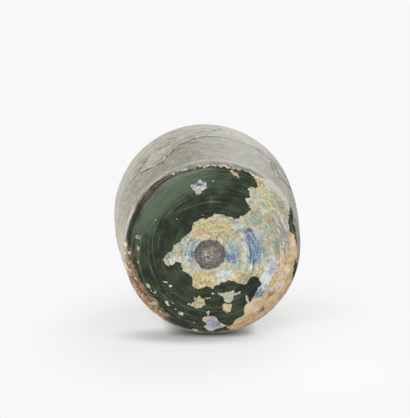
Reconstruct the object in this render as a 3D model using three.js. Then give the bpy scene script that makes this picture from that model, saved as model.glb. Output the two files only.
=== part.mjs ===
// A free-blown glass bottle: a squat body that flares a little from its base to its
// shoulder, a tapering neck and an applied string rim, all one piece of hollow glass.
// Millimetres, +Z up, standing on the ring round its push-up. The origin is the centre
// of that ring.
import * as THREE from 'three';
import { mergeVertices } from 'three/addons/utils/BufferGeometryUtils.js';

// Underside
const BASE_DIAMETER = 89.4;
const HEEL_REACH = 7.6; // from the ring out to the side
const HEEL_HEIGHT = 5.6;
const RING_WIDTH = 4; // the flat ring that the bottle stands on
const PUSH_UP_HEIGHT = 3.5;
const SCAR_DIAMETER = 16; // where the pontil rod was broken off
const SCAR_DEPTH = 0.6;
const SCAR_OFFSET_X = -1.2;
const SCAR_OFFSET_Y = 3.3; // the rod was stuck on a little off centre
const BASE_WALL = 6;

// Body and shoulder
const BODY_DIAMETER = 97.5;
const BELLY_HEIGHT = 81; // where the body is widest
const SHOULDER_RISE = 34;
const SHOULDER_ROUNDING = 24;
const NECK_SWEEP = 21;
const BODY_WALL = 3.5;

// Neck, string rim and lip
const NECK_ROOT_DIAMETER = 36;
const NECK_TOP_DIAMETER = 28;
const NECK_LENGTH = 73;
const NECK_WALL = 4;
const RIM_HEIGHT = 6;
const RIM_REACH = 2.8;
const RIM_BELOW_MOUTH = 4;
const LIP_ROUNDING = 1;

// Facets
const SIDES = 60;
const PUSH_UP_STEPS = 5;
const HEEL_STEPS = 6;
const BODY_STEPS = 6;
const SHOULDER_STEPS = 10;
const NECK_STEPS = 3;
const RIM_STEPS = 6;

const baseRadius = BASE_DIAMETER / 2;
const bellyRadius = BODY_DIAMETER / 2;
const ringOuter = baseRadius - HEEL_REACH;
const ringInner = ringOuter - RING_WIDTH;
const scarRadius = SCAR_DIAMETER / 2;
const neckRootHeight = BELLY_HEIGHT + SHOULDER_RISE;
const mouthHeight = neckRootHeight + NECK_LENGTH;
const rimTop = mouthHeight - RIM_BELOW_MOUTH;
const rimBottom = rimTop - RIM_HEIGHT;

// A profile's points are (distance from the axis, height).
const at = (radius, height) => new THREE.Vector2(radius, height);

const steps = (count, make) => Array.from({ length: count }, (_, i) => make((i + 1) / count));

// The push-up is a low dome that runs out level at the ring.
const pushUpAt = (radius) =>
  (PUSH_UP_HEIGHT / 2) * (1 + Math.cos((Math.PI * Math.min(radius, ringInner)) / ringInner));

// The side flares most just above the heel and is upright at the belly.
const bodyRadiusAt = (height) => {
  const climb = THREE.MathUtils.inverseLerp(HEEL_HEIGHT, BELLY_HEIGHT, height);
  return baseRadius + (bellyRadius - baseRadius) * Math.sin((Math.PI / 2) * climb);
};

const neckRadiusAt = (height) => {
  const climb = THREE.MathUtils.inverseLerp(neckRootHeight, mouthHeight, height);
  return THREE.MathUtils.lerp(NECK_ROOT_DIAMETER, NECK_TOP_DIAMETER, climb) / 2;
};

function underside() {
  const scarTop = pushUpAt(scarRadius) + SCAR_DEPTH;
  return [
    at(0, scarTop),
    at(scarRadius - SCAR_DEPTH, scarTop),
    at(scarRadius, pushUpAt(scarRadius)),
    ...steps(PUSH_UP_STEPS, (t) => {
      const radius = THREE.MathUtils.lerp(scarRadius, ringInner, t);
      return at(radius, pushUpAt(radius));
    }),
    at(ringOuter, 0),
  ];
}

// A quarter ellipse from a level floor out and up to the side.
const heel = (fromRadius, floor, toRadius, top) =>
  steps(HEEL_STEPS, (t) => {
    const turn = (Math.PI / 2) * t;
    const radius = THREE.MathUtils.lerp(fromRadius, toRadius, Math.sin(turn));
    return at(radius, THREE.MathUtils.lerp(top, floor, Math.cos(turn)));
  });

const side = (fromHeight, wall) =>
  steps(BODY_STEPS, (t) => {
    const height = THREE.MathUtils.lerp(fromHeight, BELLY_HEIGHT, t);
    return at(bodyRadiusAt(height) - wall, height);
  });

// The shoulder turns over from the upright side and sweeps up into the neck. Inside the
// glass both bends lie lower by the wall.
function shoulder(bodyWall, neckWall) {
  const belly = bellyRadius - bodyWall;
  const root = NECK_ROOT_DIAMETER / 2 - neckWall;
  const curve = new THREE.CubicBezierCurve(
    at(belly, BELLY_HEIGHT),
    at(belly, BELLY_HEIGHT + SHOULDER_ROUNDING - bodyWall),
    at(root, neckRootHeight - NECK_SWEEP - bodyWall),
    at(root, neckRootHeight),
  );
  return steps(SHOULDER_STEPS, (t) => curve.getPoint(t));
}

const neck = (topHeight, wall) =>
  steps(NECK_STEPS, (t) => {
    const height = THREE.MathUtils.lerp(neckRootHeight, topHeight, t);
    return at(neckRadiusAt(height) - wall, height);
  });

// A thread of hot glass wound once round the neck under the mouth: a half-round bulge.
const stringRim = () =>
  steps(RIM_STEPS, (t) => {
    const height = THREE.MathUtils.lerp(rimBottom, rimTop, (1 - Math.cos(Math.PI * t)) / 2);
    return at(neckRadiusAt(height) + RIM_REACH * Math.sin(Math.PI * t), height);
  });

// The mouth is fire-polished: both edges are rounded and a narrow flat is left between.
function lip() {
  const outer = NECK_TOP_DIAMETER / 2;
  const inner = outer - NECK_WALL;
  const bevel = LIP_ROUNDING * (1 - Math.SQRT1_2);
  return [
    at(outer, mouthHeight - LIP_ROUNDING),
    at(outer - bevel, mouthHeight - bevel),
    at(outer - LIP_ROUNDING, mouthHeight),
    at(inner + LIP_ROUNDING, mouthHeight),
    at(inner + bevel, mouthHeight - bevel),
  ];
}

const outside = () => [
  ...underside(),
  ...heel(ringOuter, 0, baseRadius, HEEL_HEIGHT),
  ...side(HEEL_HEIGHT, 0),
  ...shoulder(0, 0),
  ...neck(rimBottom, 0),
  ...stringRim(),
  ...lip(),
];

// The inside follows the outside at the wall's thickness, from the floor up to the mouth.
function inside() {
  const floorAt = (radius) => at(radius, pushUpAt(radius) + BASE_WALL);
  const floorEdge = ringOuter - BODY_WALL;
  const heelTop = HEEL_HEIGHT + BASE_WALL;
  return [
    floorAt(0),
    ...steps(PUSH_UP_STEPS, (t) => floorAt(floorEdge * t)),
    ...heel(floorEdge, BASE_WALL, bodyRadiusAt(heelTop) - BODY_WALL, heelTop),
    ...side(heelTop, BODY_WALL),
    ...shoulder(BODY_WALL, NECK_WALL),
    ...neck(mouthHeight - LIP_ROUNDING, NECK_WALL),
  ];
}

// The pontil scar, with the push-up under it, lies a little off the bottle's axis.
function moveScar(position) {
  const underTheFloor = pushUpAt(0) + BASE_WALL / 2;
  for (let i = 0; i < position.count; i += 1) {
    const [x, y, z] = [position.getX(i), position.getY(i), position.getZ(i)];
    if (z < underTheFloor) {
      const follow = 1 - THREE.MathUtils.smoothstep(Math.hypot(x, y), scarRadius, ringInner);
      position.setXY(i, x + SCAR_OFFSET_X * follow, y + SCAR_OFFSET_Y * follow);
    }
  }
}

function bottleGeometry() {
  const geometry = new THREE.LatheGeometry([...outside(), ...inside().reverse()], SIDES);
  geometry.rotateX(Math.PI / 2);
  moveScar(geometry.attributes.position);
  geometry.deleteAttribute('normal');
  geometry.deleteAttribute('uv');
  const merged = mergeVertices(geometry, 1e-4);
  merged.computeVertexNormals();
  return merged;
}

const weatheredGlass = new THREE.MeshStandardMaterial({
  color: 0x4a5443,
  roughness: 0.4,
  metalness: 0,
});

const bottle = new THREE.Mesh(bottleGeometry(), weatheredGlass);
bottle.name = 'bottle';

const model = new THREE.Group();
model.add(bottle);

export default model;
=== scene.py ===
import bmesh
import bpy
import math
import numpy as np
from mathutils import Matrix, Vector, noise
from mathutils.bvhtree import BVHTree


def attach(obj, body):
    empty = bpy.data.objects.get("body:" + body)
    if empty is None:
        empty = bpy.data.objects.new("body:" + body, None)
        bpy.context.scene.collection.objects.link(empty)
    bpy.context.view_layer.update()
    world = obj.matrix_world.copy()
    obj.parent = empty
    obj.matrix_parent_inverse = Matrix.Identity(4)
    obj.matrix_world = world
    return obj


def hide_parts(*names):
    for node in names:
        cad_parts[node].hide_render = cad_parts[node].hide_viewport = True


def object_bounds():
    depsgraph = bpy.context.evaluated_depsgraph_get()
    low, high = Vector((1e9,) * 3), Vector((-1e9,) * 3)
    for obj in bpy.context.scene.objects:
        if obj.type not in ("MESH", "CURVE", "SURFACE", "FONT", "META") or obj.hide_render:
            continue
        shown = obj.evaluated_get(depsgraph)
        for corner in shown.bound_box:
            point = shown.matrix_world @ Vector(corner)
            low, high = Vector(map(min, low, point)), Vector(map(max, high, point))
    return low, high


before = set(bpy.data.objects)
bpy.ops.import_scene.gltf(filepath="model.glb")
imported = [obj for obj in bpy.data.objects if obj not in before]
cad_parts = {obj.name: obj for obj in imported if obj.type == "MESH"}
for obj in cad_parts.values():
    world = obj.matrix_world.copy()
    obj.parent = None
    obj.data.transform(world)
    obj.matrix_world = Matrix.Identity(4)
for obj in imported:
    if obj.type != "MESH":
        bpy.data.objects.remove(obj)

cad_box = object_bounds()

# Camera
# The photograph looks at the bottle's base from a metre away, 14 degrees above its axis
# and 3 degrees to its left. Up in the picture is the bottle's -Y, and right is its +X.
mm = 0.001
frame_size = (410, 418)
mm_per_pixel = 0.5
base_centre_pixel = (212.6, 250.0)
camera_distance = 1000 * mm
above_axis = math.radians(14)
beside_axis = math.radians(3.2)
sensor = 36
pixels_of_focus = camera_distance / (mm_per_pixel * mm)

to_base = Vector((
    math.sin(beside_axis),
    math.cos(beside_axis) * math.sin(above_axis),
    math.cos(beside_axis) * math.cos(above_axis),
))
picture_up = Vector((0, -math.cos(above_axis), math.sin(above_axis)))
picture_right = to_base.cross(picture_up)
off_centre = [p - s / 2 for p, s in zip(base_centre_pixel, frame_size)]
aim = to_base * pixels_of_focus - picture_right * off_centre[0] + picture_up * off_centre[1]
aim = aim.normalized()
right = aim.cross(picture_up).normalized()
up = right.cross(aim)

camera_data = bpy.data.cameras.new("camera")
camera_data.sensor_width = sensor
camera_data.lens = sensor * pixels_of_focus / max(frame_size)
camera = bpy.data.objects.new("camera", camera_data)
eye = -to_base * camera_distance
camera.matrix_world = Matrix.Translation(eye) @ Matrix((right, up, -aim)).transposed().to_4x4()
bpy.context.scene.collection.objects.link(camera)
bpy.context.scene.camera = camera


def sight_line(pixel):
    """The direction from the camera through a pixel of the photograph."""
    across, down = [p - s / 2 for p, s in zip(pixel, frame_size)]
    return (aim * pixels_of_focus + right * across - up * down).normalized()


# Light
# A white studio: soft boxes at the picture's upper right, at its left side, at its low
# right, by the camera's upper left and above the neck, and white all round to fill the
# shadows.
studio_white = "#f8f8f8"
studio_fill = 0.5


def soft_box(name, place, size, power):
    """A square light turned towards the bottle's base, with its side in metres and its watts."""
    light_data = bpy.data.lights.new(name, "AREA")
    light_data.shape = "SQUARE"
    light_data.size = size
    light_data.energy = power
    light = bpy.data.objects.new(name, light_data)
    towards_base = (-Vector(place)).to_track_quat("-Z", "Y").to_matrix().to_4x4()
    light.matrix_world = Matrix.Translation(place) @ towards_base
    bpy.context.scene.collection.objects.link(light)


soft_box("over_picture", (0.65, -0.9, 0.2), 1.0, 2.2)
soft_box("left_side", (-1.2, 0.1, 0.6), 0.8, 16)
soft_box("low_right", (0.9, 0.3, -0.9), 0.6, 3)
soft_box("upper_left", (-0.5, -0.65, -1.0), 0.6, 7.6)
soft_box("above_neck", (0.35, -0.7, 1.1), 0.8, 8)


def put(tree, kind, *inputs, out=0, **settings):
    """Adds a node with its settings, fills its inputs in order with values or links, and
    returns one of its outputs. None leaves an input as it is."""
    node = tree.nodes.new("ShaderNode" + kind)
    for name, value in settings.items():
        setattr(node, name, value)
    for socket, value in zip(node.inputs, inputs):
        if isinstance(value, bpy.types.NodeSocket):
            tree.links.new(value, socket)
        elif value is not None:
            socket.default_value = value
    return node.outputs[out] if node.outputs else node


def colour(hex_code):
    """Turns an sRGB hex colour to the linear colour that the shaders take."""
    parts = [int(hex_code[i:i + 2], 16) / 255 for i in (1, 3, 5)]
    return [p / 12.92 if p <= 0.04045 else ((p + 0.055) / 1.055) ** 2.4 for p in parts] + [1.0]


world = bpy.data.worlds.new("white_studio")
world.use_nodes = True
bpy.context.scene.world = world
world.node_tree.nodes.clear()
fill = put(world.node_tree, "Background", colour("#ffffff"), studio_fill)
backdrop = put(world.node_tree, "Background", colour(studio_white), 1.0)
camera_ray = put(world.node_tree, "LightPath")
put(world.node_tree, "OutputWorld", put(world.node_tree, "MixShader", camera_ray, fill, backdrop))
bpy.context.scene.view_settings.view_transform = "Standard"
bpy.context.scene.view_settings.look = "None"


# Floor
# Two pale sheets that only the camera sees, each from its own side and fading out away
# from the bottle: the table that it lies on in the photograph, and a floor under its base.
sheet_half = 0.6
fade_from = 0.08
fade_to = 0.17
contact_reach = 6 * mm
contact_falloff = 0.8
# The painted shadow under the bottle's heel: its middle, its half sizes, and the share of its size that is
# darkest.
shadow_centre = (-11 * mm, 2 * mm, 0)
shadow_size = (45 * mm, 24 * mm)
shadow_core = 0.2
table_touch = 45.0 * mm
table_slope = 0.0537


def pale_sheet(name, centre, facing, paper, glow, shadow):
    """A sheet whose paper shows the lights' shadows and whose glow makes them softer, with painted shade
    where the bottle is near and a painted shadow oval as deep as shadow.
    """
    material = bpy.data.materials.new(name)
    material.use_nodes = True
    tree = material.node_tree
    tree.nodes.clear()
    lit = put(tree, "AddShader", put(tree, "BsdfDiffuse", (paper, paper, paper, 1)),
              put(tree, "Emission", colour("#ffffff"), glow))
    # Painted shade: the sheet is darker where the bottle comes within contact_reach, and darker still in a
    # painted shadow oval round shadow_centre.
    touching = put(tree, "AmbientOcclusion", None, contact_reach, out=1)
    near = put(tree, "Math", touching, contact_falloff, operation="POWER")
    off = put(tree, "VectorMath", put(tree, "TexCoord", out=3), shadow_centre, operation="SUBTRACT")
    shrink = (1 / shadow_size[0], 1 / shadow_size[1], 0)
    off = put(tree, "VectorMath", off, shrink, operation="MULTIPLY")
    off = put(tree, "VectorMath", off, operation="LENGTH", out=1)
    soft = put(tree, "MapRange", off, shadow_core, 1.0, 1 - shadow, 1.0,
               interpolation_type="SMOOTHSTEP")
    near = put(tree, "Math", near, soft, operation="MULTIPLY")
    lit = put(tree, "MixShader", near, put(tree, "BsdfDiffuse", (0, 0, 0, 1)), lit)
    from_bottle = put(tree, "VectorMath", put(tree, "TexCoord", out=3), operation="LENGTH", out=1)
    fade = put(tree, "MapRange", from_bottle, fade_from, fade_to, interpolation_type="SMOOTHSTEP")
    gone = put(tree, "Math", fade, put(tree, "NewGeometry", out=6), operation="MAXIMUM")
    put(tree, "OutputMaterial", put(tree, "MixShader", gone, lit, put(tree, "BsdfTransparent")))

    bm = bmesh.new()
    bmesh.ops.create_grid(bm, x_segments=1, y_segments=1, size=sheet_half)
    mesh = bpy.data.meshes.new(name)
    bm.to_mesh(mesh)
    bm.free()
    mesh.materials.append(material)
    sheet = bpy.data.objects.new(name, mesh)
    turned = Vector(facing).to_track_quat("Z", "Y").to_matrix().to_4x4()
    sheet.matrix_world = Matrix.Translation(centre) @ turned
    for rays_off in ("diffuse", "glossy", "transmission", "shadow"):
        setattr(sheet, "visible_" + rays_off, False)
    bpy.context.scene.collection.objects.link(sheet)


pale_sheet("table", (0, table_touch, 0), (0, -1, table_slope), paper=0.42, glow=0.52, shadow=0.45)
pale_sheet("floor", (0, 0, -0.5 * mm), (0, 0, 1), paper=0.42, glow=0.5, shadow=0)


# Bottle
# One piece of nearly black green glass, blown free and pushed up with a pontil rod at
# the base. Buried for centuries, it grew a grey skin and a flaking iridescent crust.
body_radius = (cad_box[1][0] - cad_box[0][0]) / 2
mouth_height = cad_box[1][2]
base_radius = 44.7 * mm
heel_reach = 7.6 * mm
heel_height = 5.6 * mm
ring_width = 4 * mm
push_up = 3.5 * mm
scar_radius = 8 * mm
scar_depth = 0.6 * mm
scar_centre = Vector((-1.2 * mm, 3.3 * mm, 0))
base_wall = 6 * mm
belly_height = 81 * mm
shoulder_rise = 34 * mm
shoulder_rounding = 24 * mm
neck_sweep = 21 * mm
body_wall = 3.5 * mm
neck_root_radius = 18 * mm
neck_top_radius = 14 * mm
neck_wall = 4 * mm
rim_height = 6 * mm
rim_reach = 2.8 * mm
rim_below_mouth = 4 * mm
lip_rounding = 1 * mm

ring_outer = base_radius - heel_reach
ring_inner = ring_outer - ring_width
neck_root_height = belly_height + shoulder_rise
rim_top = mouth_height - rim_below_mouth
rim_bottom = rim_top - rim_height


def mix(a, b, t):
    """What lies a share t of the way from a to b."""
    return a + (b - a) * t


def along(count, make):
    """Makes a stretch's points, all but its first, from the share of the way along it."""
    return [make((i + 1) / count) for i in range(count)]


def push_up_at(radius):
    """How high the underside is at a radius: a cosine from the middle down to the ring."""
    return push_up / 2 * (1 + math.cos(math.pi * min(radius, ring_inner) / ring_inner))


def body_radius_at(height):
    climb = (height - heel_height) / (belly_height - heel_height)
    return mix(base_radius, body_radius, math.sin(math.pi / 2 * climb))


def neck_radius_at(height):
    return mix(neck_root_radius, neck_top_radius,
               (height - neck_root_height) / (mouth_height - neck_root_height))


def heel(count, inner, floor, outer, top):
    """A quarter of an ellipse from the floor's inner radius up to the outer one at the top."""
    return along(count, lambda t: (mix(inner, outer, math.sin(math.pi / 2 * t)),
                                   mix(top, floor, math.cos(math.pi / 2 * t))))


def side(count, start, wall):
    """The side from its start up to the widest place, drawn in by the wall."""
    heights = along(count, lambda t: mix(start, belly_height, t))
    return [(body_radius_at(height) - wall, height) for height in heights]


def shoulder(count, wall, at_neck):
    """A cubic curve from the upright side over into the neck, as the glass slumped."""
    belly = body_radius - wall
    root = neck_root_radius - at_neck
    low, high = belly_height + shoulder_rounding - wall, neck_root_height - neck_sweep - wall

    def bend(t, a, b, c, d):
        s = 1 - t
        return a * s ** 3 + 3 * b * s * s * t + 3 * c * s * t * t + d * t ** 3
    return along(count, lambda t: (bend(t, belly, belly, root, root),
                                   bend(t, belly_height, low, high, neck_root_height)))


def neck(count, top, wall):
    """The tapering neck up to its top, drawn in by the wall."""
    heights = along(count, lambda t: mix(neck_root_height, top, t))
    return [(neck_radius_at(height) - wall, height) for height in heights]


def string_rim(t):
    """The half round section of the thread of glass that was laid round the neck."""
    height = mix(rim_bottom, rim_top, (1 - math.cos(math.pi * t)) / 2)
    return neck_radius_at(height) + rim_reach * math.sin(math.pi * t), height


def spun(profile, sectors):
    """Spins a profile of (radius, height) points once round the bottle's axis."""
    points = [bm.verts.new((r, 0, z)) for r, z in profile]
    lines = [bm.edges.new(pair) for pair in zip(points, points[1:])]
    bmesh.ops.spin(bm, geom=points + lines, cent=(0, 0, 0), axis=(0, 0, 1), dvec=(0, 0, 0),
                   angle=math.tau, steps=sectors, use_merge=True, use_duplicate=False)
    bmesh.ops.remove_doubles(bm, verts=bm.verts, dist=0.005 * mm)


def double_the_sectors(beyond, below):
    """Splits the level rings past a radius and below a height; the loop after the calls rounds the new
    points.
    """
    def is_ring(edge):
        a, b = (vert.co for vert in edge.verts)
        level = abs(a.z - b.z) < 0.001 * mm and abs(a.xy.length - b.xy.length) < 0.001 * mm
        return level and a.z < below and (a.xy.length > beyond or a.z > belly_height)
    rings = [edge for edge in bm.edges if is_ring(edge)]
    bmesh.ops.subdivide_edges(bm, edges=rings, cuts=1, use_grid_fill=True)


# The outside and then the inside, each stretch with its count of rings.
scar_top = push_up_at(scar_radius) + scar_depth
mouth_inner = neck_top_radius - neck_wall
outside = [(0, scar_top)]
outside += along(13, lambda t: (t * (scar_radius - scar_depth), scar_top))
outside += along(2, lambda t: (mix(scar_radius - scar_depth, scar_radius, t),
                               scar_top - scar_depth * t))
outside += along(60, lambda t: (mix(scar_radius, ring_inner, t),
                                push_up_at(mix(scar_radius, ring_inner, t))))
outside += along(7, lambda t: (mix(ring_inner, ring_outer, t), 0))
outside += heel(28, ring_outer, 0, base_radius, heel_height)
outside += side(66, heel_height, 0) + shoulder(36, 0, 0) + neck(30, rim_bottom, 0)
outside += along(14, string_rim)
outside += along(2, lambda t: (neck_top_radius, mix(rim_top, mouth_height - lip_rounding, t)))
outside += along(4, lambda t: (neck_top_radius - lip_rounding * (1 - math.cos(math.pi / 2 * t)),
                               mouth_height - lip_rounding * (1 - math.sin(math.pi / 2 * t))))
outside += along(3, lambda t: (mix(neck_top_radius - lip_rounding, mouth_inner + lip_rounding, t),
                               mouth_height))
outside += along(4, lambda t: (mouth_inner + lip_rounding * (1 - math.sin(math.pi / 2 * t)),
                               mouth_height - lip_rounding * (1 - math.cos(math.pi / 2 * t))))
floor_edge = ring_outer - body_wall
inside_heel = heel_height + base_wall
inside = neck(14, mouth_height - lip_rounding, neck_wall)[::-1]
inside += shoulder(14, body_wall, neck_wall)[::-1]
inside += side(14, inside_heel, body_wall)[::-1]
inside += heel(6, floor_edge, base_wall, body_radius_at(inside_heel) - body_wall, inside_heel)[::-1]
inside += along(12, lambda t: (floor_edge * (1 - t), push_up_at(floor_edge * (1 - t)) + base_wall))

sectors = 120
bm = bmesh.new()
# What the mesh carries for the material: how far in mm each point is inside the crust and
# the skin and from a crack, cleft being the same with a sign for the crack's side, and how
# strongly it is worn, stained and tinted.
field_names = (
    "crust", "skin", "crack", "wear_and_highlight", "blue", "teal", "lilac", "tan", "sage", "gold", "white",
    "umber", "stain", "flecks", "dusky_and_shade", "rosy", "cleft",
)
for name in field_names:
    bm.verts.layers.float.new(name)
spun(outside, sectors)
double_the_sectors(beyond=10 * mm, below=neck_root_height - 10 * mm)
double_the_sectors(beyond=22 * mm, below=belly_height)

for vert in bm.verts:
    across = vert.co.xy.length
    turn = math.atan2(vert.co.y, vert.co.x) % (math.tau / sectors) - math.pi / sectors
    level = [e for e in vert.link_edges if abs(e.verts[0].co.z - e.verts[1].co.z) < 0.001 * mm]
    if across > 0 and len(level) > 1:
        vert.co.xy *= math.cos(turn) / math.cos(math.pi / sectors)

# The scar, with the push-up under it, lies a little off the bottle's axis.
for vert in bm.verts:
    if vert.co.z < push_up + scar_depth + base_wall / 2:
        t = min(max((vert.co.xy.length - scar_radius) / (ring_inner - scar_radius), 0), 1)
        vert.co += scar_centre * (1 - t * t * (3 - 2 * t))

seen_shell = BVHTree.FromBMesh(bm)


def on_glass(pixel):
    """Where the line of sight through a pixel of the photograph meets the glass, in mm.
    A pixel just off the glass is drawn in towards the base's centre until it meets it."""
    pixel, centre = Vector(pixel), Vector(base_centre_pixel)
    while True:
        met = seen_shell.ray_cast(eye, sight_line(pixel))[0]
        if met is not None:
            return met / mm
        pixel += (centre - pixel).normalized() * 0.5


verts = list(bm.verts)
places = np.array([vert.co for vert in verts]) / mm
bm.normal_update()
outward = np.array([vert.normal for vert in verts])
across_base = places[:, :2]
height = places[:, 2]
reach = np.hypot(places[:, 0], places[:, 1])
unrolled_radius = 46.5


def unroll(points):
    """Distance round the body from the photograph's top, and height, in mm."""
    points = np.atleast_2d(points)
    return np.stack([unrolled_radius * np.arctan2(points[:, 0], -points[:, 1]), points[:, 2]], 1)


wrapped = unroll(places)


def rough(points, grain, seed, octaves=1):
    """Seeded noise from -1 to 1 with grains of that size, in mm."""
    shift = Vector((seed * 17.3, seed * 5.1, seed * 9.7))
    if octaves > 1:
        return np.array([noise.fractal(Vector(p) / grain + shift, 1.0, 2.0, octaves) for p in points])
    return np.array([noise.noise(Vector(p) / grain + shift) for p in points])


def eased(value, low, high):
    """Goes smoothly from 0 at low to 1 at high, where high may also be the smaller one."""
    t = np.clip((value - low) / (high - low), 0, 1)
    return t * t * (3 - 2 * t)


def from_line(points, line):
    """Distance from an open line, and which side of it, positive to its right."""
    nearest = np.full(len(points), 1e9)
    sided = np.zeros(len(points))
    for a, b in zip(line, line[1:]):
        way = b - a
        t = np.clip(((points - a) @ way) / (way @ way), 0, 1)
        off = points - (a + t[:, None] * way)
        far = np.hypot(off[:, 0], off[:, 1])
        closer = far < nearest
        nearest[closer] = far[closer]
        sided[closer] = (way[0] * off[:, 1] - way[1] * off[:, 0])[closer]
    return nearest, np.sign(sided)


def inside_outline(points, outline):
    """Distance to a closed outline, positive inside it."""
    outline = np.asarray(outline)
    far = from_line(points, np.vstack([outline, outline[:1]]))[0]
    within = np.zeros(len(points), bool)
    for a, b in zip(outline, np.roll(outline, -1, 0)):
        crosses = (a[1] > points[:, 1]) != (b[1] > points[:, 1])
        slope = (b[0] - a[0]) / ((b[1] - a[1]) or 1e-9)
        within ^= crosses & (points[:, 0] < a[0] + slope * (points[:, 1] - a[1]))
    return np.where(within, far, -far)


def in_oval(points, pixel, half_width, half_height, turn=0.0):
    """Distance in mm to the edge of an oval round a pixel's place, positive inside it."""
    off = points - np.array(on_glass(pixel))[:2]
    c, s = math.cos(math.radians(turn)), math.sin(math.radians(turn))
    u = (off[:, 0] * c + off[:, 1] * s) / half_width
    v = (off[:, 1] * c - off[:, 0] * s) / half_height
    return (1 - np.hypot(u, v)) * min(half_width, half_height)


# The crust's big patch on the base, round its edge from the top clockwise, in the
# photograph's pixels, then the outlines of the larger flakes on the bare glass.
crust_edge = [
    (218, 214), (224, 215), (230, 217), (235, 219.5), (241, 216), (247, 214), (251, 210), (248, 204),
    (245, 199), (251, 197), (248, 190), (251, 186), (256, 188), (259, 187), (254, 177), (256, 175),
    (268, 179), (281, 189), (289, 203), (288.5, 222), (290, 232), (294, 233), (297, 246), (297.5, 255),
    (294, 264), (292.5, 275), (291, 288), (280, 305), (262, 320), (247, 329), (232, 334), (226, 328),
    (233, 324), (237, 319), (244, 314), (245, 304), (252, 300), (257, 291), (261, 284), (259, 277),
    (253, 276), (250, 278), (247, 283), (242, 284.5), (236, 282), (230, 280), (222, 283), (213, 288),
    (206, 286), (199, 289), (193, 286), (192, 277), (187, 272), (183, 271), (181, 263), (176, 261),
    (173, 265), (167, 265), (163, 261), (166, 255), (172, 251), (173, 246), (180, 242), (184, 237),
    (189, 234), (192, 228), (195, 222), (201, 219), (207, 219), (213, 216),
]
flake_outlines = {
    "lilac": [
        (190.4, 185), (194.2, 183.5), (197.2, 182), (200.3, 178.9), (202.9, 182), (207.2, 183.2),
        (205.7, 185.8), (207.2, 187.3), (204.9, 189.6), (201.8, 191.2), (199.5, 194.5), (196.2, 193.9),
        (194.6, 190.9), (191.1, 188.1),
    ],
    "yellow": [
        (188.8, 304.5), (191.9, 303.3), (194.6, 301.4), (193.7, 297.1), (196.5, 298.1), (199.5, 295.6),
        (201.4, 298.4), (205.4, 299.9), (204.1, 302.7), (205.7, 304.5), (202.9, 306), (200.3, 307.9),
        (198, 309.1), (195.3, 307.6), (191.9, 306.6),
    ],
    "green": [
        (216.7, 292.5), (221, 293.2), (225.6, 292.2), (230.2, 291.3), (233.2, 290.7), (234.8, 293.2),
        (237.8, 292.5), (240.9, 291.3), (240.6, 293.2), (236.3, 294.7), (233.5, 295.9), (232.9, 299.9),
        (230.2, 302.3), (227.4, 303), (224.3, 299.9), (222.8, 296.2), (219.4, 294.7),
    ],
    "rosy": [
        (222.5, 304.5), (224.8, 303.3), (227.4, 304.2), (230.9, 303.3), (232, 306), (230.9, 309.1),
        (231.4, 311.5), (228.3, 312.5), (225.6, 311.8), (222.8, 309.7),
    ],
    "hook": [
        (245.5, 295), (247.3, 296.1), (248.2, 299.9), (248.9, 302.3), (246.7, 301.7), (245.8, 298.7),
    ],
    "at_rim": [
        (202.3, 318.3), (205.7, 316.7), (209, 316), (213.3, 316.4), (216.7, 317.5), (218.2, 321.3),
        (222.5, 324.1), (227.1, 325.9), (222.5, 327.5), (217.9, 328.2), (214.1, 330.5), (209, 331.3),
        (205.7, 329), (203.5, 326.2), (207.2, 324.4), (205.7, 322.1), (202.6, 320.6),
    ],
    "sliver": [
        (230, 170.5), (233, 171), (238, 174.5), (241.5, 179), (239, 178.5), (235, 175.5), (231, 173),
    ],
    "comma": [
        (146.4, 283), (149, 284.5), (150.2, 288.5), (148, 287.5), (146, 285),
    ],
    "drop": [
        (165, 300), (167.5, 301), (168.4, 304), (170.5, 306.5), (168, 306), (165.6, 303.5),
    ],
}
small_flakes = [
    # pixel, half width and height in mm, turn in degrees
    ((213, 181), 0.6, 0.6, 0), ((138, 248), 0.7, 1.4, 0), ((155.5, 292.5), 1, 0.5, -40),
    ((166, 282), 1.5, 0.3, 10), ((170.5, 286), 0.9, 0.6, 30), ((181, 313.6), 1.4, 0.8, 20),
    ((208, 298), 1.2, 0.3, -10), ((195, 330), 1.6, 0.7, 10), ((138, 262), 0.4, 0.7, 0),
    ((138.4, 236.8), 1.5, 0.9, 20), ((194, 323), 0.4, 0.8, 0), ((208, 313), 0.7, 1.2, 20),
    ((156, 220), 0.4, 0.4, 0), ((177, 219), 0.4, 0.4, 0), ((151, 290), 0.4, 0.7, 0),
    ((189, 304), 0.9, 0.4, -10), ((160, 297), 0.4, 0.3, 0), ((175, 309), 0.8, 0.3, 25),
    ((173, 303), 0.5, 0.3, 0), ((213, 293.5), 0.7, 0.3, 0),
]

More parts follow.
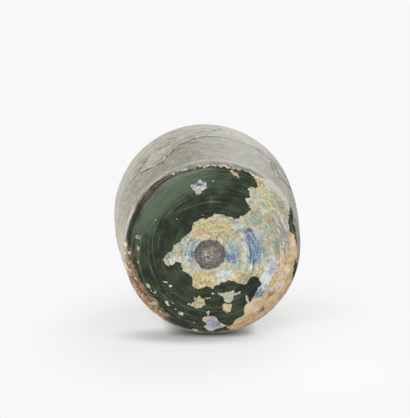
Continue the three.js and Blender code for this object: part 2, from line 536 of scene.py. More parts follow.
# Where the crust's thin layers break the light into blue, teal, lilac, white and gold, and
# where it is dull tan, umber or sage, stained dusky or tinged rosy.
tints = {
    # pixel, half width and height in mm, turn in degrees, strength
    "blue": [
        ((192.6, 242.5), 2.2, 2, 0, 0.8), ((190, 253), 2.4, 3, 0, 1.15),
        ((229.5, 244), 2.8, 2.4, 0, 0.55), ((231.5, 255), 3.8, 4.4, 0, 1.05),
        ((246.7, 231.5), 2.2, 2.2, 0, 1), ((249, 239), 3.6, 4, -10, 1.1),
        ((251.5, 246), 4, 4.2, -12, 1.2), ((254, 253), 3.6, 4.2, -12, 1.2),
        ((252.5, 260), 2.4, 3.4, 0, 1), ((261, 250.5), 2.8, 2.2, 0, 0.8),
        ((264.5, 254), 3.2, 2.6, 0, 0.65), ((247, 244), 1, 8, -6, 0.8), ((262, 243), 2.4, 6, -10, 0.5),
        ((255, 195.5), 2.2, 3.6, 0, 0.5), ((259.5, 293), 1.7, 3.4, 40, 1.2),
        ((263.5, 287), 1.5, 3, 30, 0.9), ((169.5, 253), 2.2, 1.6, 0, 0.7), ((208, 313), 1.2, 1.6, 0, 1),
        ((187, 247), 2.4, 1.4, 0, 0.5), ((194, 323), 1, 1, 0, 1), ((166, 261), 2, 1.6, 0, 0.5),
        ((242, 229), 2, 2, 0, 0.6), ((217.5, 324.5), 2, 2, 0, 0.6),
    ],
    "teal": [
        ((253.5, 217), 2.6, 1.8, 20, 1.1), ((258.5, 221), 2.6, 1.8, 30, 1),
        ((264, 230), 2, 3.8, -20, 0.9), ((263.5, 205), 3.4, 2.4, 0, 0.8), ((262, 197), 3, 4, 0, 0.5),
        ((236, 264.5), 2.8, 2.6, 0, 0.95), ((250, 268.5), 2.8, 1.8, 0, 0.85),
        ((182, 250), 5, 4, 0, 0.45), ((258, 237), 1.8, 5, -15, 0.7), ((229, 296), 3.4, 3, 0, 0.95),
        ((198, 192.5), 2, 1.2, 0, 1), ((272, 194), 2, 6, -35, 0.6), ((247, 222), 3, 2, 0, 0.55),
        ((226, 240), 2, 1.6, 0, 0.6), ((271, 222), 3, 5, -20, 0.5),
    ],
    "lilac": [
        ((273.5, 268), 2, 4.4, 15, 0.7), ((223.5, 276), 2.6, 1.2, -20, 0.5),
        ((220.3, 283), 1.6, 1.2, 0, 0.6), ((191, 262.5), 1.6, 2.2, 0, 0.8),
        ((197, 268.3), 2.8, 1, 0, 0.7), ((215.5, 221.5), 3.8, 1.4, 0, 0.4), ((237, 224), 3, 3, 0, 0.42),
        ((279, 222), 2.4, 4, 0, 0.45), ((200, 185.5), 4, 2.6, 0, 0.75), ((215, 323), 4.4, 4, 0, 1.1),
        ((213, 181), 1, 1, 0, 0.8), ((287, 233), 1.6, 7, 0, 0.5), ((180, 262), 2, 2, 0, 0.4),
    ],
    "tan": [
        ((256.2, 211.8), 2.6, 1.8, 0, 0.7), ((267.7, 218), 2.4, 2, 0, 0.6), ((295, 250), 3, 12, 0, 1),
        ((283, 270), 6, 9, 0, 1), ((285, 290), 8.5, 9.5, 0, 1.1), ((272, 302), 10, 9, -35, 1.1),
        ((257, 315), 10, 7.5, -30, 1.1), ((243, 324), 9, 5.5, -20, 1.1), ((231, 330), 8, 3.5, -10, 1),
        ((235.5, 174.5), 4, 2.5, 0, 1.1), ((205, 319), 2, 1.6, 0, 1), ((222, 326), 3, 1.2, 0, 0.9),
        ((227.5, 308), 3.4, 3.2, 0, 0.8), ((138.4, 236.8), 2.5, 1.6, 0, 0.7),
        ((296, 205), 2.5, 6, 0, 0.7), ((205, 282), 4, 1.6, 0, 0.5), ((196, 234), 3.4, 1.8, -40, 0.6),
        ((216, 222), 5, 1, 8, 0.6), ((195, 279), 2, 2, 0, 0.5),
    ],
    "white": [
        ((271.5, 268), 2.2, 5.6, 15, 1.2), ((266.5, 279), 2.2, 5.6, 30, 1.1),
        ((225, 274.5), 3.2, 2, -20, 1.2), ((189, 260), 1.4, 3, 0, 0.6), ((250, 267), 2.4, 3, 0, 0.5),
        ((243, 243), 1.4, 7, -6, 0.35), ((264, 213), 1.6, 1.6, 0, 0.7), ((174, 261), 3, 1.6, 0, 0.7),
        ((184, 243), 3, 2, -40, 0.5), ((208, 320), 1, 1, 0, 0.5), ((237, 226), 3, 1.2, 0, 0.6),
        ((220.5, 283), 1.8, 1.2, 0, 1),
    ],
    "gold": [
        ((213, 229), 11, 5.5, 0, 1), ((200, 231), 6, 4.5, -40, 0.7), ((241, 236), 1.6, 9, -6, 0.7),
        ((203, 281), 8, 4.5, 0, 1.3), ((196, 303), 3, 3, 0, 1.2), ((196, 273), 3, 3, 0, 0.9),
        ((221, 280), 4, 2.5, 0, 0.9), ((241, 278), 5, 3.4, 0, 1.1), ((255, 273), 3.5, 2.5, 0, 0.9),
        ((262, 189), 3, 5, -30, 1), ((272, 206), 2.5, 5, -30, 0.7), ((291, 235), 1.2, 8, 0, 1.1),
        ((286, 212), 1.5, 4, 0, 0.9), ((174, 259), 2.5, 1.6, 0, 0.5), ((186, 266), 2.5, 2, 0, 0.7),
        ((197, 302), 4, 4, 0, 1.2), ((229, 296), 5, 4, 0, 0.8), ((262, 197), 2.4, 4, 0, 0.9),
        ((248, 217), 2, 2, 0, 0.6), ((147, 286), 2, 2, 0, 1), ((247, 299), 2, 3, 0, 1),
        ((168, 303), 2, 2, 0, 0.8), ((257, 180), 3, 3, 0, 0.9), ((248, 317), 2, 6, 45, 0.8),
    ],
    "umber": [
        ((256, 211), 1.8, 1.6, 0, 0.5), ((268, 218), 1.6, 1.6, 0, 0.45), ((263, 222), 1.5, 1.5, 0, 0.4),
        ((234, 332), 8, 1.2, -8, 0.9), ((138.4, 236.8), 2, 1.4, 0, 0.9), ((236, 175), 3, 1.5, 35, 0.8),
    ],
    "sage": [
        ((281, 240), 4.6, 14, 0, 0.95), ((275, 225), 4, 7, -15, 0.8), ((284, 209), 3, 6, -20, 0.8),
        ((271, 241), 3, 6, -5, 0.6), ((274, 203), 1.6, 5, -30, 0.7), ((268, 190), 2, 6, -45, 0.6),
        ((289, 262), 2, 8, 5, 0.6), ((250, 286), 7, 6, -40, 0.9), ((263, 243), 2, 6, -5, 0.5),
        ((171, 252), 3, 2, 0, 0.6),
    ],
    "dusky_and_shade": [
        ((246.7, 231), 2, 1.4, 0, 0.75), ((214, 324), 3.4, 3, 0, 0.7), ((197, 302), 4, 4, 0, 0.55),
        ((199, 184.5), 3.4, 0.8, -10, 0.9), ((281, 202), 1.2, 9, -35, 0.6),
        ((203, 299), 1.5, 3, 20, 0.4), ((252.8, 268), 0.4, 5, 6, 1.1),
        ((191.5, 252.2), 3.2, 0.4, 0, 0.9), ((271, 293), 3.4, 1.7, -40, 0.7),
        ((261.5, 310), 1.5, 2.6, 30, 0.85), ((283, 300), 1.6, 1.2, 0, 0.6),
        ((138.4, 237), 0.9, 0.5, 20, 1.2), ((242, 322), 2, 1, -20, 0.6), ((279, 287), 1.4, 2.4, 0, 0.5),
        ((183, 246), 1.6, 1, 0, 0.6), ((209, 281), 0.6, 2.2, 20, 0.6), ((205, 280), 0.4, 2.4, 10, 0.6),
    ],
    "rosy": [
        ((274, 184), 6.5, 3.4, 40, 1), ((283, 195), 6.5, 3.4, 55, 1), ((288, 204), 2, 4, 0, 0.8),
        ((276, 303), 3, 2.2, -35, 0.5), ((281, 281), 2.4, 6, 10, 0.6), ((262, 316), 4, 1.2, -35, 0.5),
        ((263, 199), 2, 3, 0, 0.4), ((240, 331), 4, 1, -10, 0.6),
    ],
}


def spread(points, spots):
    """The strongest of some soft spots at each point, from 0 to the spot's strength."""
    total = np.zeros(len(points))
    for pixel, wide, tall, turn, strength in spots:
        inwards = in_oval(points, pixel, wide, tall, turn) / min(wide, tall)
        total = np.maximum(total, strength * eased(inwards, -0.7, 0.6))
    return total


# Noise with grains of 2.2 and 0.9 mm makes every outline ragged, and a slower drift moves
# the tints as well.
wobble = np.stack([rough(places, 2.2, 1, 4), rough(places, 2.2, 2, 4)], 1)
fine_wobble = np.stack([rough(places, 0.9, 11, 3), rough(places, 0.9, 12, 3)], 1)
ragged_base = across_base + wobble * 0.55 + fine_wobble * 0.35
crust = inside_outline(ragged_base, [on_glass(pixel)[:2] for pixel in crust_edge])
for outline in flake_outlines.values():
    on_base = [on_glass(pixel)[:2] for pixel in outline]
    crust = np.maximum(crust, inside_outline(across_base + fine_wobble * 0.35, on_base))
for pixel, wide, tall, turn in small_flakes:
    crust = np.maximum(crust, in_oval(across_base + fine_wobble * 0.3, pixel, wide, tall, turn))
drift = np.stack([rough(places, 6, 21, 2), rough(places, 6, 22, 2)], 1)
warped = across_base + wobble + drift * 0.9 + fine_wobble * 0.5
fields = {name: spread(warped, spots) for name, spots in tints.items()}
low_down = 1 - eased(height + wobble[:, 0] * 2, 4, 10)
fields = {name: values * low_down for name, values in fields.items()}

# A reddish brown stain with flecks of crust runs round the heel at the photograph's lower
# left, thinner at its lower right and fainter under the skin at its left and top. Bearings
# are in degrees: 90 is the picture's bottom, 180 its left and 270 its top.
heel_top = 9
band_begins = (106, 134)
band_ends = (172, 202)
band_reach = 41.3
well_outside = -3.0
fleck_areas = [((165, 296), 11, 9, 30, 0.6), ((226, 303), 14, 9, 0, 0.45)]
bearing = np.degrees(np.arctan2(places[:, 1], places[:, 0])) % 360
along_band = eased(bearing, *band_begins) * (1 - eased(bearing, *band_ends))
band_inner = band_reach - 1.6 * np.sin(np.radians((bearing - 100) * 2.1))
band = reach - band_inner + wobble[:, 0] * 2.2 + fine_wobble[:, 0] * 0.9
band = np.minimum(band, (along_band - 0.5) * 6)
band = np.minimum(band, 1.6 * (rough(places, 2.6, 23, 3) - 0.34))
band = np.where(height < heel_top, band, well_outside)
fields["tan"] = np.maximum(fields["tan"], 0.8 * eased(band, -0.3, 0.4))
stain = eased(reach - band_inner + 3 + wobble[:, 0] * 2.0, 0, 5) * along_band
low_edge = eased(reach + wobble[:, 1] * 0.8, 42.4, 43.8) * eased(bearing, 40, 70)
low_edge *= 1 - eased(bearing, 100, 130)
under_skin = 0.42 * eased(reach + wobble[:, 1], 40.0, 44) * eased(bearing, 140, 170)
under_skin *= 1 - eased(bearing, 255, 285)
fields["flecks"] = spread(warped, fleck_areas)
stain = np.maximum(np.maximum(stain, 0.7 * low_edge), under_skin)
fields["stain"] = np.where(height < heel_top, stain, 0)
crust = np.maximum(crust, np.minimum(band, 0.8))

# The grey skin of the body begins on the heel, lower at the photograph's top, where a
# broken line of crust marks its edge. Two thin gaps at the right show bare glass.
crust_top = 14
bare_gaps = [((291.5, 218), 1.2, 8, 0), ((295.0, 270), 1.3, 5, 14)]
lowest_skin = 1.8
skin_rise = 2.8
skin_foot = lowest_skin + skin_rise * (eased(-wrapped[:, 0], 10, 44) + eased(wrapped[:, 0], 92, 112))
skin = (height - skin_foot) * 1.2 + wobble[:, 0] * 0.9 + fine_wobble[:, 1] * 0.4
rim_line = 0.5 - np.abs(skin - 0.2) - 1.1 * (1 - eased(rough(places, 4.0, 14, 3), -0.5, 0.15))
rim_line -= 3 * eased(np.abs(wrapped[:, 0] - 2), 24, 34)
crust = np.maximum(crust, np.where(height < heel_top, rim_line, well_outside))
rim_tan = 0.6 * eased(rim_line, -0.2, 0.1) * (reach > 40) * (wobble[:, 1] > 0)
fields["tan"] = np.maximum(fields["tan"], rim_tan)
crust = np.where(height < crust_top, crust, well_outside)
gap = np.maximum(*[in_oval(across_base, *oval) for oval in bare_gaps])
skin = np.where(height < 20, np.minimum(skin, -gap + 0.3), skin)

# On the far sides and above the belly the skin is lost in patches, and low down at the
# photograph's top it is bluish.
far_side = eased(np.abs(wrapped[:, 0]), 62, 84) + eased(height, 96, 112)
loss = rough(places, 16, 5, 4) + 0.35 * rough(places, 4, 6, 3)
holding = (0.42 - loss) * 4 + 3 * (1 - np.minimum(far_side, 1))
skin = np.where(far_side > 0, np.minimum(skin, holding), skin)
near_rim = (1 - eased(height, 7, 17)) * (1 - eased(np.abs(wrapped[:, 0] - 8), 20, 40)) * (height > 3)
fields["blue"] = np.maximum(fields["blue"], 0.6 * near_rim * (crust < 0))

# The skin has cracked. These are the cracks that the photograph shows, how wide each is
# beside the others, and then cracks of any course that wander round the far sides.
crack_pixels = [
    [(133, 177), (145.6, 169.6), (154, 166), (163, 160.5), (169, 153.5), (178.6, 145),
     (190, 139.5), (198, 136.7), (212, 136), (226, 137.4), (237.5, 140), (251.5, 146),
     (264, 153.5)],
    [(174.4, 151.4), (182.8, 147.2), (191.2, 142.3)],
    [(163, 163.3), (164.5, 159), (168, 155), (173, 152)],
    [(168.8, 138.8), (178.6, 135.3), (192.6, 132.4), (206.6, 131), (223.5, 129)],
    [(274, 163.3), (278, 172), (281, 177), (288, 185.8), (292, 190)],
    [(267, 156.3), (274, 161), (281, 168.9), (289.4, 183)],
    [(133, 180), (138, 171), (143.5, 163.3), (150.5, 155), (160, 148), (170, 143.7)],
    [(277, 165), (285, 175), (290, 184), (295, 197), (298.5, 209)],
    [(271, 162), (273, 170), (277, 177), (283, 179)],
]
crack_widths = [1.7, 1.0, 1.2, 1.2, 2.4, 1.9, 1.1, 1.4, 1.2]
far_crack_width = 0.7
far_cracks = 16
far_crack_starts = (62, 230)
far_crack_heights = (16, 96)
girth = 292
no_crack = 9.0
cracks = [np.array([unroll(on_glass(pixel))[0] for pixel in line]) for line in crack_pixels]
chance = np.random.default_rng(7)
for start in range(far_cracks):
    across = mix(*far_crack_starts, start / far_cracks)
    point = np.array([across, mix(*far_crack_heights, chance.random())])
    heading = chance.uniform(-0.5, 0.5)
    line = []
    for _ in range(chance.integers(5, 11)):
        line.append([(point[0] + girth / 2) % girth - girth / 2, point[1]])
        heading = 0.7 * heading + chance.uniform(-0.45, 0.45)
        point = point + chance.uniform(3, 6) * np.array([math.cos(heading), math.sin(heading)])
    line = np.array(line)
    past_seam = np.nonzero(np.abs(np.diff(line[:, 0])) > 50)[0] + 1
    for piece in np.split(line, past_seam):
        if len(piece) > 1:
            cracks.append(piece)
crack_widths += [far_crack_width] * (len(cracks) - len(crack_pixels))

# Beside a crack the skin has lifted, on its one side more than on the other. Heights count
# for less than distances round the body, since the photograph foreshortens them.
crack = np.full(len(places), no_crack)
cleft = np.full(len(places), no_crack)
lift = np.zeros(len(places))
flatter = np.array([1.0, 0.42])
ragged_wrap = wrapped + wobble * 1.1 + fine_wobble * 0.4
for line, wide in zip(cracks, crack_widths):
    far, which = from_line(ragged_wrap * flatter, line * flatter)
    far = far / wide
    cleft = np.where(far < crack, far * which, cleft)
    crack = np.minimum(crack, far)
    lift += np.where(which > 0, 0.4, 0.08) * (1 - eased(far, 0, 2.6)) * eased(far, 0.0, 0.35)
crack = np.where(height > 5, crack, no_crack)

# Painted shade: the skin is made duskier in a band on the lower side of the main crack,
# beside its lifted plate, and low on the body at the picture's top and upper left, leaving
# the body's edges lighter than its middle.
far, which = from_line(ragged_wrap * flatter, cracks[0] * flatter)
shade_under_crack = 1.2 * np.where(which < 0, 1 - eased(far, 0, 7), 0)
shaded_front = 0.9 * (1 - eased(height, 35, 78)) * (1 - eased(wrapped[:, 0] + wobble[:, 0] * 6, 16, 62))
shaded_front *= 1 - eased(-wrapped[:, 0], 50, 84)
fields["dusky_and_shade"] = np.maximum(fields["dusky_and_shade"], np.where(height > 7, np.maximum(shade_under_crack, shaded_front), 0))
lift = np.where(height > 5, np.minimum(lift, 0.4), 0)

# Some plates of the skin between the cracks are rosy: one by its outline, others by their
# middle and their size in mm, and by noise on the far sides.
pink_plate = [(143.5, 163.3), (150.5, 155), (160, 148), (170, 143.7), (173, 146.5),
              (163, 156.3), (156, 162), (146, 167.5)]
pink_patches = [
    ((268.4, 156.3), 7), ((287, 192), 9), ((279, 177), 6), ((130.5, 176), 5), ((180, 137), 7),
    ((140, 172), 5),
]
on_plate = inside_outline(ragged_wrap, [unroll(on_glass(pixel))[0] for pixel in pink_plate])
pink = 0.6 * eased(on_plate + wobble[:, 1], -0.6, 1.2)
for pixel, size in pink_patches:
    off = (wrapped - unroll(on_glass(pixel))[0]) * flatter
    inwards = 1 - np.hypot(off[:, 0], off[:, 1]) / size * 2 + wobble[:, 1] * 0.6
    pink = np.maximum(pink, 0.7 * eased(inwards, 0, 0.6))
pink = np.maximum(pink, 0.45 * eased(rough(places, 9, 8, 4), 0.3, 0.7) * np.minimum(far_side, 1))
fields["rosy"] = np.maximum(fields["rosy"], np.where(height > 6, pink, 0))

# The ring that the bottle stands on is worn and shines more softly, and a painted highlight
# of lighter green lies on it, strongest at the picture's upper left; a small film on the
# push-up is treated the same.
wear_and_highlight_from = (25, 37)
wear_and_highlight_until = (38, 43.5)
most_worn_and_lit = 230
film_oval = ((213, 202), 3.2, 2.4, 0)
film = in_oval(across_base + wobble, *film_oval)
film = 0.7 * eased(film + fine_wobble[:, 0] * 3, 0, 1.5)
wear_and_highlight = eased(reach, *wear_and_highlight_from) * (1 - eased(reach, *wear_and_highlight_until))
wear_and_highlight *= 0.2 + 0.9 * eased(np.abs(bearing - most_worn_and_lit), 70, 8)
fields["wear_and_highlight"] = np.where(height < 8, np.maximum(wear_and_highlight, film), 0)

# The crust stands proud of the glass in three thin layers, one on the other, and the skin
# in one, which the cracks cut. Under both, the blown glass is a little uneven.
crust_layers = (0.26, 0.14, 0.1)
skin_layer = 0.15
crack_depth = 0.2
unevenness = 0.12
grain = rough(places, 0.8, 3, 3)
layers = crust_layers[0] * eased(crust, -0.05, 0.25)
upper = crust_layers[1] * eased(crust + grain * 0.6, 0.9, 1.2)
layers += upper + crust_layers[2] * eased(crust + grain, 2.4, 2.8)
layers += 0.02 * grain * (crust > 0)
on_skin = eased(skin, 0, 0.3) * (crust < 0)
cut = lift - crack_depth * (1 - eased(crack, 0.1, 0.4))
layers += on_skin * (skin_layer + 0.05 * grain) + on_skin * cut
layers += unevenness * rough(places, 14, 9, 2)
layers *= 1 - eased(height, 178, 186)

for vert, out, layer in zip(verts, outward, layers):
    vert.co += Vector(out) * float(layer) * mm

fields.update(crust=crust, skin=np.minimum(skin, 1.5), crack=crack, cleft=cleft)
for name, values in fields.items():
    layer = bm.verts.layers.float[name]
    for vert, value in zip(verts, values):
        vert[layer] = float(value)

# The inside is bare glass, and the skin ends over the lip's edge.
lip_skin = 0.8
spun([(mouth_inner, mouth_height - lip_rounding)] + inside[1:], sectors)
bare_inside = {"crust": well_outside, "skin": well_outside, "crack": no_crack,
               "cleft": no_crack, "stain": 0.0}
for vert in set(bm.verts) - set(verts):
    for name, value in bare_inside.items():
        vert[bm.verts.layers.float[name]] = value
for vert in bm.verts:
    at_lip = vert.co.z > mouth_height - 1.05 * lip_rounding
    if abs(vert.co.xy.length - mouth_inner) < 0.05 * mm and at_lip:
        vert[bm.verts.layers.float["skin"]] = lip_skin
mesh = bpy.data.meshes.new("bottle_glass")
for face in bm.faces:
    face.smooth = True
bm.to_mesh(mesh)
bm.free()
bottle = bpy.data.objects.new("bottle_glass", mesh)
bpy.context.scene.collection.objects.link(bottle)

# Weathered black glass: nearly black green glass with a soft shine, a dull grey skin
# where it has weathered, and a thin crust whose layers shimmer gold, blue and lilac.
glass = bpy.data.materials.new("weathered_black_glass")
glass.use_nodes = True
tree = glass.node_tree
shader = tree.nodes["Principled BSDF"]

at = {name: put(tree, "Attribute", attribute_name=name, out=2) for name in fields}
in_mm = put(tree, "VectorMath", put(tree, "TexCoord", out=3), None, None, 1 / mm, operation="SCALE")

# Grains of 0.45 to 8 mm, and streaks drawn out round the scar, round the base and round
# the body, as the glass was turned when hot: the width of each streak, then its length.
grains = {}
for name, size in (("speck", 0.45), ("fine", 0.75), ("patchy", 1.3), ("medium", 2.4),
                   ("cloudy", 5.0), ("coarse", 8.0)):
    grains[name] = put(tree, "TexNoise", in_mm, None, 1 / size, 4.0, 0.6)
scar_mm = (scar_centre.x / mm, scar_centre.y / mm, 0)
rings = {}
for name, centre, wide, long in (("scar", scar_mm, 0.55, 8.0), ("base", (0, 0, 0), 0.9, 16.0)):
    moved = put(tree, "VectorMath", in_mm, centre, operation="SUBTRACT")
    flat = put(tree, "VectorMath", moved, (1, 1, 0), operation="MULTIPLY")
    rings[name] = put(tree, "VectorMath", flat, operation="LENGTH", out=1)
    drawn = put(tree, "VectorMath", flat, (1 / long, 1 / long, 0), operation="MULTIPLY")
    rows = put(tree, "Math", rings[name], wide, operation="DIVIDE")
    rows = put(tree, "CombineXYZ", None, None, rows)
    drawn = put(tree, "VectorMath", drawn, rows, operation="ADD")
    grains["round_" + name] = put(tree, "TexNoise", drawn, None, 1.0, 3.0, 0.65)
level = put(tree, "VectorMath", in_mm, (1 / 12, 1 / 12, 1 / 1.4), operation="MULTIPLY")
grains["level"] = put(tree, "TexNoise", level, None, 1.0, 4.0, 0.7)
dashes = put(tree, "VectorMath", in_mm, (1 / 3.0, 1 / 3.0, 1 / 1.2), operation="MULTIPLY")
grains["dashes"] = put(tree, "TexNoise", dashes, None, 1.0, 3.0, 0.6)


def lay(below, above, where, low, high, most=1.0):
    """Lays a colour over another where a pattern goes from low to high."""
    share = put(tree, "MapRange", where, low, high, 0.0, most, interpolation_type="SMOOTHSTEP")
    return put(tree, "MixRGB", share, below, above)


def stir(parts):
    """Adds up patterns, each round its middle and times its weight, to the first one."""
    total, rest = parts[0], parts[1:]
    for name, weight in rest:
        total = put(tree, "Math", total, -weight / 2, operation="ADD")
        total = put(tree, "Math", grains[name], weight, total, operation="MULTIPLY_ADD")
    return total


# Bare glass: dark green, with a greyer painted highlight on the worn ring, brown and rusty
# where it is stained, with pale specks, and painted shade beside the crust.
bare = lay(colour("#20291a"), colour("#37422f"), stir([grains["coarse"], ("round_base", 0.5)]), 0.38, 0.66)
bare = lay(bare, colour("#3b4836"), grains["round_base"], 0.5, 0.72, 0.6)
# Painted highlight: lighter grey-green over the worn ring, strongest at its upper left.
bare = lay(bare, colour("#5b6c57"), stir([at["wear_and_highlight"], ("round_base", 1.8), ("coarse", 0.8)]), 0.0, 1.2)
bare = lay(bare, colour("#191f18"), at["sage"], 0.3, 0.8, 0.7)
brown = lay(colour("#4e4237"), colour("#837361"), stir([grains["round_base"], ("fine", 0.8)]), 0.4, 0.62)
bare = lay(bare, brown, stir([at["stain"], ("round_base", 1.6), ("medium", 0.8)]), 0.1, 0.7, 0.9)
rust = lay(colour("#7f5a43"), colour("#bd9875"), stir([grains["round_base"], ("medium", 0.7)]), 0.36, 0.64)
bare = lay(bare, rust, stir([at["stain"], ("round_base", 1.4), ("medium", 0.8)]), 0.5, 0.95, 0.95)
burnt = put(tree, "Math", at["stain"], 0.8, operation="MULTIPLY")
bare = lay(bare, colour("#2f241e"),
           stir([at["stain"], ("round_base", 4.0), ("patchy", 1.0)]), 0.1, -0.4, burnt)
bare = lay(bare, colour("#83876f"), grains["speck"], 0.68, 0.76)
bare = lay(bare, colour("#d4d4bc"), stir([at["flecks"], ("speck", 3.0)]), 0.95, 1.1)
# Painted shade: the bare glass is darkened just outside the crust's edge, as under its rim.
bare = lay(bare, colour("#12170e"), stir([at["crust"], ("fine", 0.6)]), -0.5, -0.05, 0.5)

# Skin: level bands of grey and buff with pale and dark dashes, bluish at its foot, darkened
# by painted shade under the main crack and low at the front, rosy in places, and dark
# cracks with a pale edge along one side.
skin_colour = lay(colour("#6f6e60"), colour("#a5a495"),
                  stir([grains["level"], ("cloudy", 0.8), ("fine", 0.8)]), 0.28, 0.66)
skin_colour = lay(skin_colour, colour("#a79c8a"), stir([grains["coarse"], ("level", 0.8)]), 0.46, 0.62, 0.7)
skin_colour = lay(skin_colour, colour("#989a99"),
                  stir([at["blue"], ("level", 1.2), ("medium", 0.8)]), 0.1, 0.9, 0.6)
# Painted shade, with dusky tints: the skin is multiplied darker where that field is strong.
shaded = put(tree, "MapRange", stir([at["dusky_and_shade"], ("level", 1.0)]), 0.0, 1.0, 0.0, 0.85)
skin_colour = put(tree, "MixRGB", shaded, skin_colour, colour("#bebea9"), blend_type="MULTIPLY")
skin_colour = lay(skin_colour, colour("#cfcec3"), grains["dashes"], 0.6, 0.7, 0.75)
skin_colour = lay(skin_colour, colour("#6b6b5f"), grains["dashes"], 0.4, 0.28, 0.6)
skin_colour = lay(skin_colour, colour("#75756a"), grains["fine"], 0.42, 0.3, 0.5)
pinkish = lay(colour("#b09684"), colour("#bdb3a4"), grains["patchy"], 0.4, 0.6)
pink_spots = stir([at["rosy"], ("level", 1.2), ("medium", 1.4), ("cloudy", 1.0)])
skin_colour = lay(skin_colour, pinkish, pink_spots, 0.15, 1.0, 0.85)
across_crack = stir([at["cleft"], ("medium", 1.6), ("patchy", 0.5)])
ends = put(tree, "Math", at["crack"], 0.5, -0.45, operation="MULTIPLY_ADD")
beside = put(tree, "Math", across_crack, -0.55, operation="ADD")
beside = put(tree, "Math", put(tree, "Math", beside, operation="ABSOLUTE"), ends, operation="MAXIMUM")
skin_colour = lay(skin_colour, colour("#cfcabb"), beside, 0.5, 0.2, 0.4)
on_crack = put(tree, "Math", across_crack, operation="ABSOLUTE")
on_crack = put(tree, "Math", on_crack, ends, operation="MAXIMUM")
skin_colour = lay(skin_colour, colour("#5a5446"), stir([on_crack, ("cloudy", 0.8)]), 0.55, 0.1, 0.7)
skin_colour = lay(skin_colour, colour("#1c1d17"),
                  stir([on_crack, ("cloudy", 0.6), ("fine", 0.2)]), 0.3, 0.14)


def mottled(ground, *layers):
    """Lays colours over a ground in turn, each where its mix of grains goes from low to high."""
    mottle = colour(ground)
    for above, (first, *rest), low, high, most in layers:
        mottle = lay(mottle, colour(above), stir([grains[first], *rest]), low, high, most)
    return mottle


# Crust: each colour is mottled with paler, darker and neighbouring ones, and pearl shows
# where no other is strong.
pearl = mottled(
    "#a9a78f",
    ("#d6d3b6", ["patchy", ("medium", 0.8)], 0.34, 0.64, 1),
    ("#b8aa94", ["coarse", ("round_scar", 0.9)], 0.52, 0.66, 0.8),
    ("#dfe0cd", ["cloudy", ("round_scar", 1.0)], 0.54, 0.68, 0.8),
    ("#98a39a", ["cloudy", ("round_scar", 1.2)], 0.42, 0.28, 0.7),
)
gold = mottled(
    "#bba873",
    ("#e0d5a4", ["patchy", ("medium", 0.8)], 0.34, 0.64, 1),
    ("#b98f62", ["cloudy", ("fine", 0.9)], 0.42, 0.28, 0.75),
    ("#a9a08b", ["coarse", ("round_scar", 1.2)], 0.54, 0.68, 0.7),
    ("#8f8a62", ["round_scar", ("speck", 0.8)], 0.42, 0.28, 0.6),
)
tan = mottled(
    "#be9863",
    ("#dcc08f", ["medium", ("round_base", 0.8)], 0.35, 0.64, 1),
    ("#a5928c", ["coarse", ("medium", 0.8)], 0.54, 0.72, 0.75),
    ("#e2d8cb", ["coarse", ("patchy", 0.6)], 0.44, 0.3, 0.8),
    ("#cc9853", ["cloudy", ("medium", 0.6)], 0.54, 0.7, 0.7),
    ("#a98c66", ["round_base"], 0.42, 0.28, 0.55),
    ("#b6a9a4", ["round_base", ("cloudy", 1.0)], 0.56, 0.74, 0.7),
)
sage = mottled(
    "#7f8577",
    ("#b9b39b", ["round_scar", ("fine", 0.6)], 0.36, 0.62, 1),
    ("#ab8f70", ["medium", ("round_scar", 1.2)], 0.5, 0.64, 0.8),
    ("#8fae9f", ["cloudy", ("fine", 0.8)], 0.56, 0.7, 0.7),
    ("#8f8688", ["round_scar", ("cloudy", 0.6)], 0.44, 0.32, 0.8),
    ("#7d949f", ["medium", ("round_base", 1.4)], 0.54, 0.68, 0.7),
    ("#cccbb0", ["round_scar", ("patchy", 0.6)], 0.56, 0.66, 0.8),
    ("#666a5f", ["round_base"], 0.42, 0.3, 0.7),
)
teal = mottled(
    "#7fa097",
    ("#b3c0ac", ["round_scar", ("fine", 0.6)], 0.36, 0.64, 1),
    ("#b3bb8c", ["round_scar", ("cloudy", 0.8)], 0.48, 0.62, 0.85),
)
blue = mottled(
    "#4d6a8b",
    ("#9cb1bc", ["round_scar", ("fine", 0.4), ("cloudy", 0.8)], 0.34, 0.62, 1),
    ("#cfcdb6", ["round_scar", ("fine", 0.5)], 0.56, 0.68, 0.8),
)
lilac = mottled(
    "#907a98",
    ("#c4c5d8", ["medium", ("round_scar", 0.5)], 0.34, 0.62, 1),
    ("#b7cbd0", ["cloudy", ("fine", 0.3)], 0.5, 0.64, 0.4),
)
umber = mottled(
    "#8c6a50",
    ("#c7a585", ["round_base", ("medium", 0.8)], 0.32, 0.64, 1),
    ("#8d7871", ["cloudy", ("round_base", 0.8)], 0.52, 0.68, 0.7),
)
white = mottled(
    "#b3c7cc",
    ("#dfe5e2", ["patchy", ("round_scar", 1.0)], 0.34, 0.6, 1),
)
crust_colour = pearl
for name, shimmer, most in (("gold", gold, 1), ("sage", sage, 0.9), ("teal", teal, 0.85),
                            ("tan", tan, 1), ("blue", blue, 1), ("white", white, 0.95),
                            ("lilac", lilac, 0.9), ("umber", umber, 0.9)):
    where = stir([at[name], ("round_scar", 2.0), ("cloudy", 1.0), ("medium", 0.9), ("fine", 0.5)])
    crust_colour = lay(crust_colour, shimmer, where, 0.3, 0.74, most)
crust_colour = lay(crust_colour, colour("#e9e8d6"),
                   stir([grains["round_scar"], ("patchy", 0.5)]), 0.56, 0.7, 0.55)
crust_colour = lay(crust_colour, colour("#75705f"),
                   stir([grains["round_scar"], ("medium", 0.6)]), 0.4, 0.28, 0.5)
crust_colour = lay(crust_colour, colour("#d3c8ba"),
                   stir([at["rosy"], ("patchy", 1.0), ("medium", 1.2)]), 0.3, 0.8, 0.9)
crust_colour = lay(crust_colour, colour("#eeeada"),
                   stir([grains["fine"], ("round_scar", 1.0)]), 0.58, 0.74, 0.6)
crust_colour = lay(crust_colour, colour("#5d523e"),
                   stir([grains["speck"], ("patchy", 0.9)]), 0.38, 0.26, 0.7)
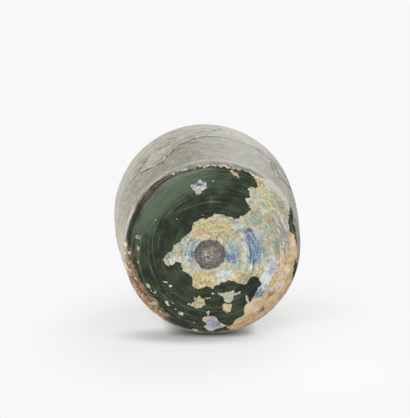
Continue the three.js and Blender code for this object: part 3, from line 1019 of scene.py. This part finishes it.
crust_colour = lay(crust_colour, colour("#ddd3ab"), stir([at["crust"], ("patchy", 0.8)]), 0.45, 0.1, 0.4)
crust_colour = lay(crust_colour, colour("#4d4648"),
                   stir([at["dusky_and_shade"], ("fine", 0.7), ("round_scar", 0.8)]), 0.3, 1.0, 0.85)

# Scar: rough grey glass where the pontil rod broke off, paler in its middle. It fades
# between two radii in mm.
scar_edge = (8.0, 7.5)
scar_middle = (5.0, 3.0)
scar_colour = lay(colour("#4b4549"), colour("#7f7a79"),
                  stir([grains["fine"], ("round_scar", 0.5)]), 0.36, 0.66)
scar_colour = lay(scar_colour, colour("#c3c3a2"), grains["speck"], 0.6, 0.68, 0.8)
middle = lay(colour("#625f5d"), colour("#c3c4ac"), stir([grains["fine"], ("speck", 0.4)]), 0.42, 0.62)
scar_colour = lay(scar_colour, middle,
                  stir([rings["scar"], ("medium", 8.0), ("fine", 4.0)]), *scar_middle, 0.85)
crust_colour = lay(crust_colour, scar_colour,
                   stir([rings["scar"], ("medium", 2.0), ("fine", 0.8)]), *scar_edge)

# The skin lies on the bare glass and the crust on both, each with a ragged edge.
edge = (-0.06, 0.06)
ragged_skin = stir([at["skin"], ("fine", 0.9)])
surface = lay(bare, skin_colour, ragged_skin, *edge)
ragged_crust = stir([at["crust"], ("fine", 1.6), ("speck", 1.0)])
surface = lay(surface, crust_colour, ragged_crust, *edge)
tree.links.new(surface, shader.inputs["Base Color"])

on_skin = put(tree, "MapRange", ragged_skin, *edge, 0.0, 1.0)
on_crust = put(tree, "MapRange", ragged_crust, *edge, 0.0, 1.0)

# The bare glass shines, more softly where it is worn, and the skin, the crust and the stain
# are dull.
glass_roughness = (0.28, 0.42)
dull_roughness = ((on_skin, 0.55), (on_crust, 0.6), (at["stain"], 0.6))
worn_ring = stir([at["wear_and_highlight"], ("coarse", 0.3)])
roughness = put(tree, "MapRange", worn_ring, 0.0, 1.0, *glass_roughness)
for where, most in dull_roughness:
    dull = put(tree, "Math", where, most, operation="MULTIPLY")
    roughness = put(tree, "Math", roughness, dull, operation="MAXIMUM")
tree.links.new(roughness, shader.inputs["Roughness"])
shader.inputs["IOR"].default_value = 1.52
shader.inputs["Specular IOR Level"].default_value = 0.35
shader.inputs["Sheen Weight"].default_value = 0.22
shader.inputs["Sheen Roughness"].default_value = 0.35

# Fine grit stands on the crust and, less, on the skin.
grit_strength = 0.35
grit_depth = 0.3 * mm
gritty = put(tree, "Math", on_skin, 0.4, operation="MULTIPLY")
gritty = put(tree, "Math", on_crust, gritty, operation="MAXIMUM")
grit = stir([grains["fine"], ("round_scar", 0.6), ("level", 0.3)])
grit = put(tree, "Math", gritty, grit, operation="MULTIPLY")
bump = put(tree, "Bump", grit_strength, grit_depth, None, grit)
tree.links.new(bump, shader.inputs["Normal"])
mesh.materials.append(glass)

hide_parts("bottle")
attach(bottle, "root")
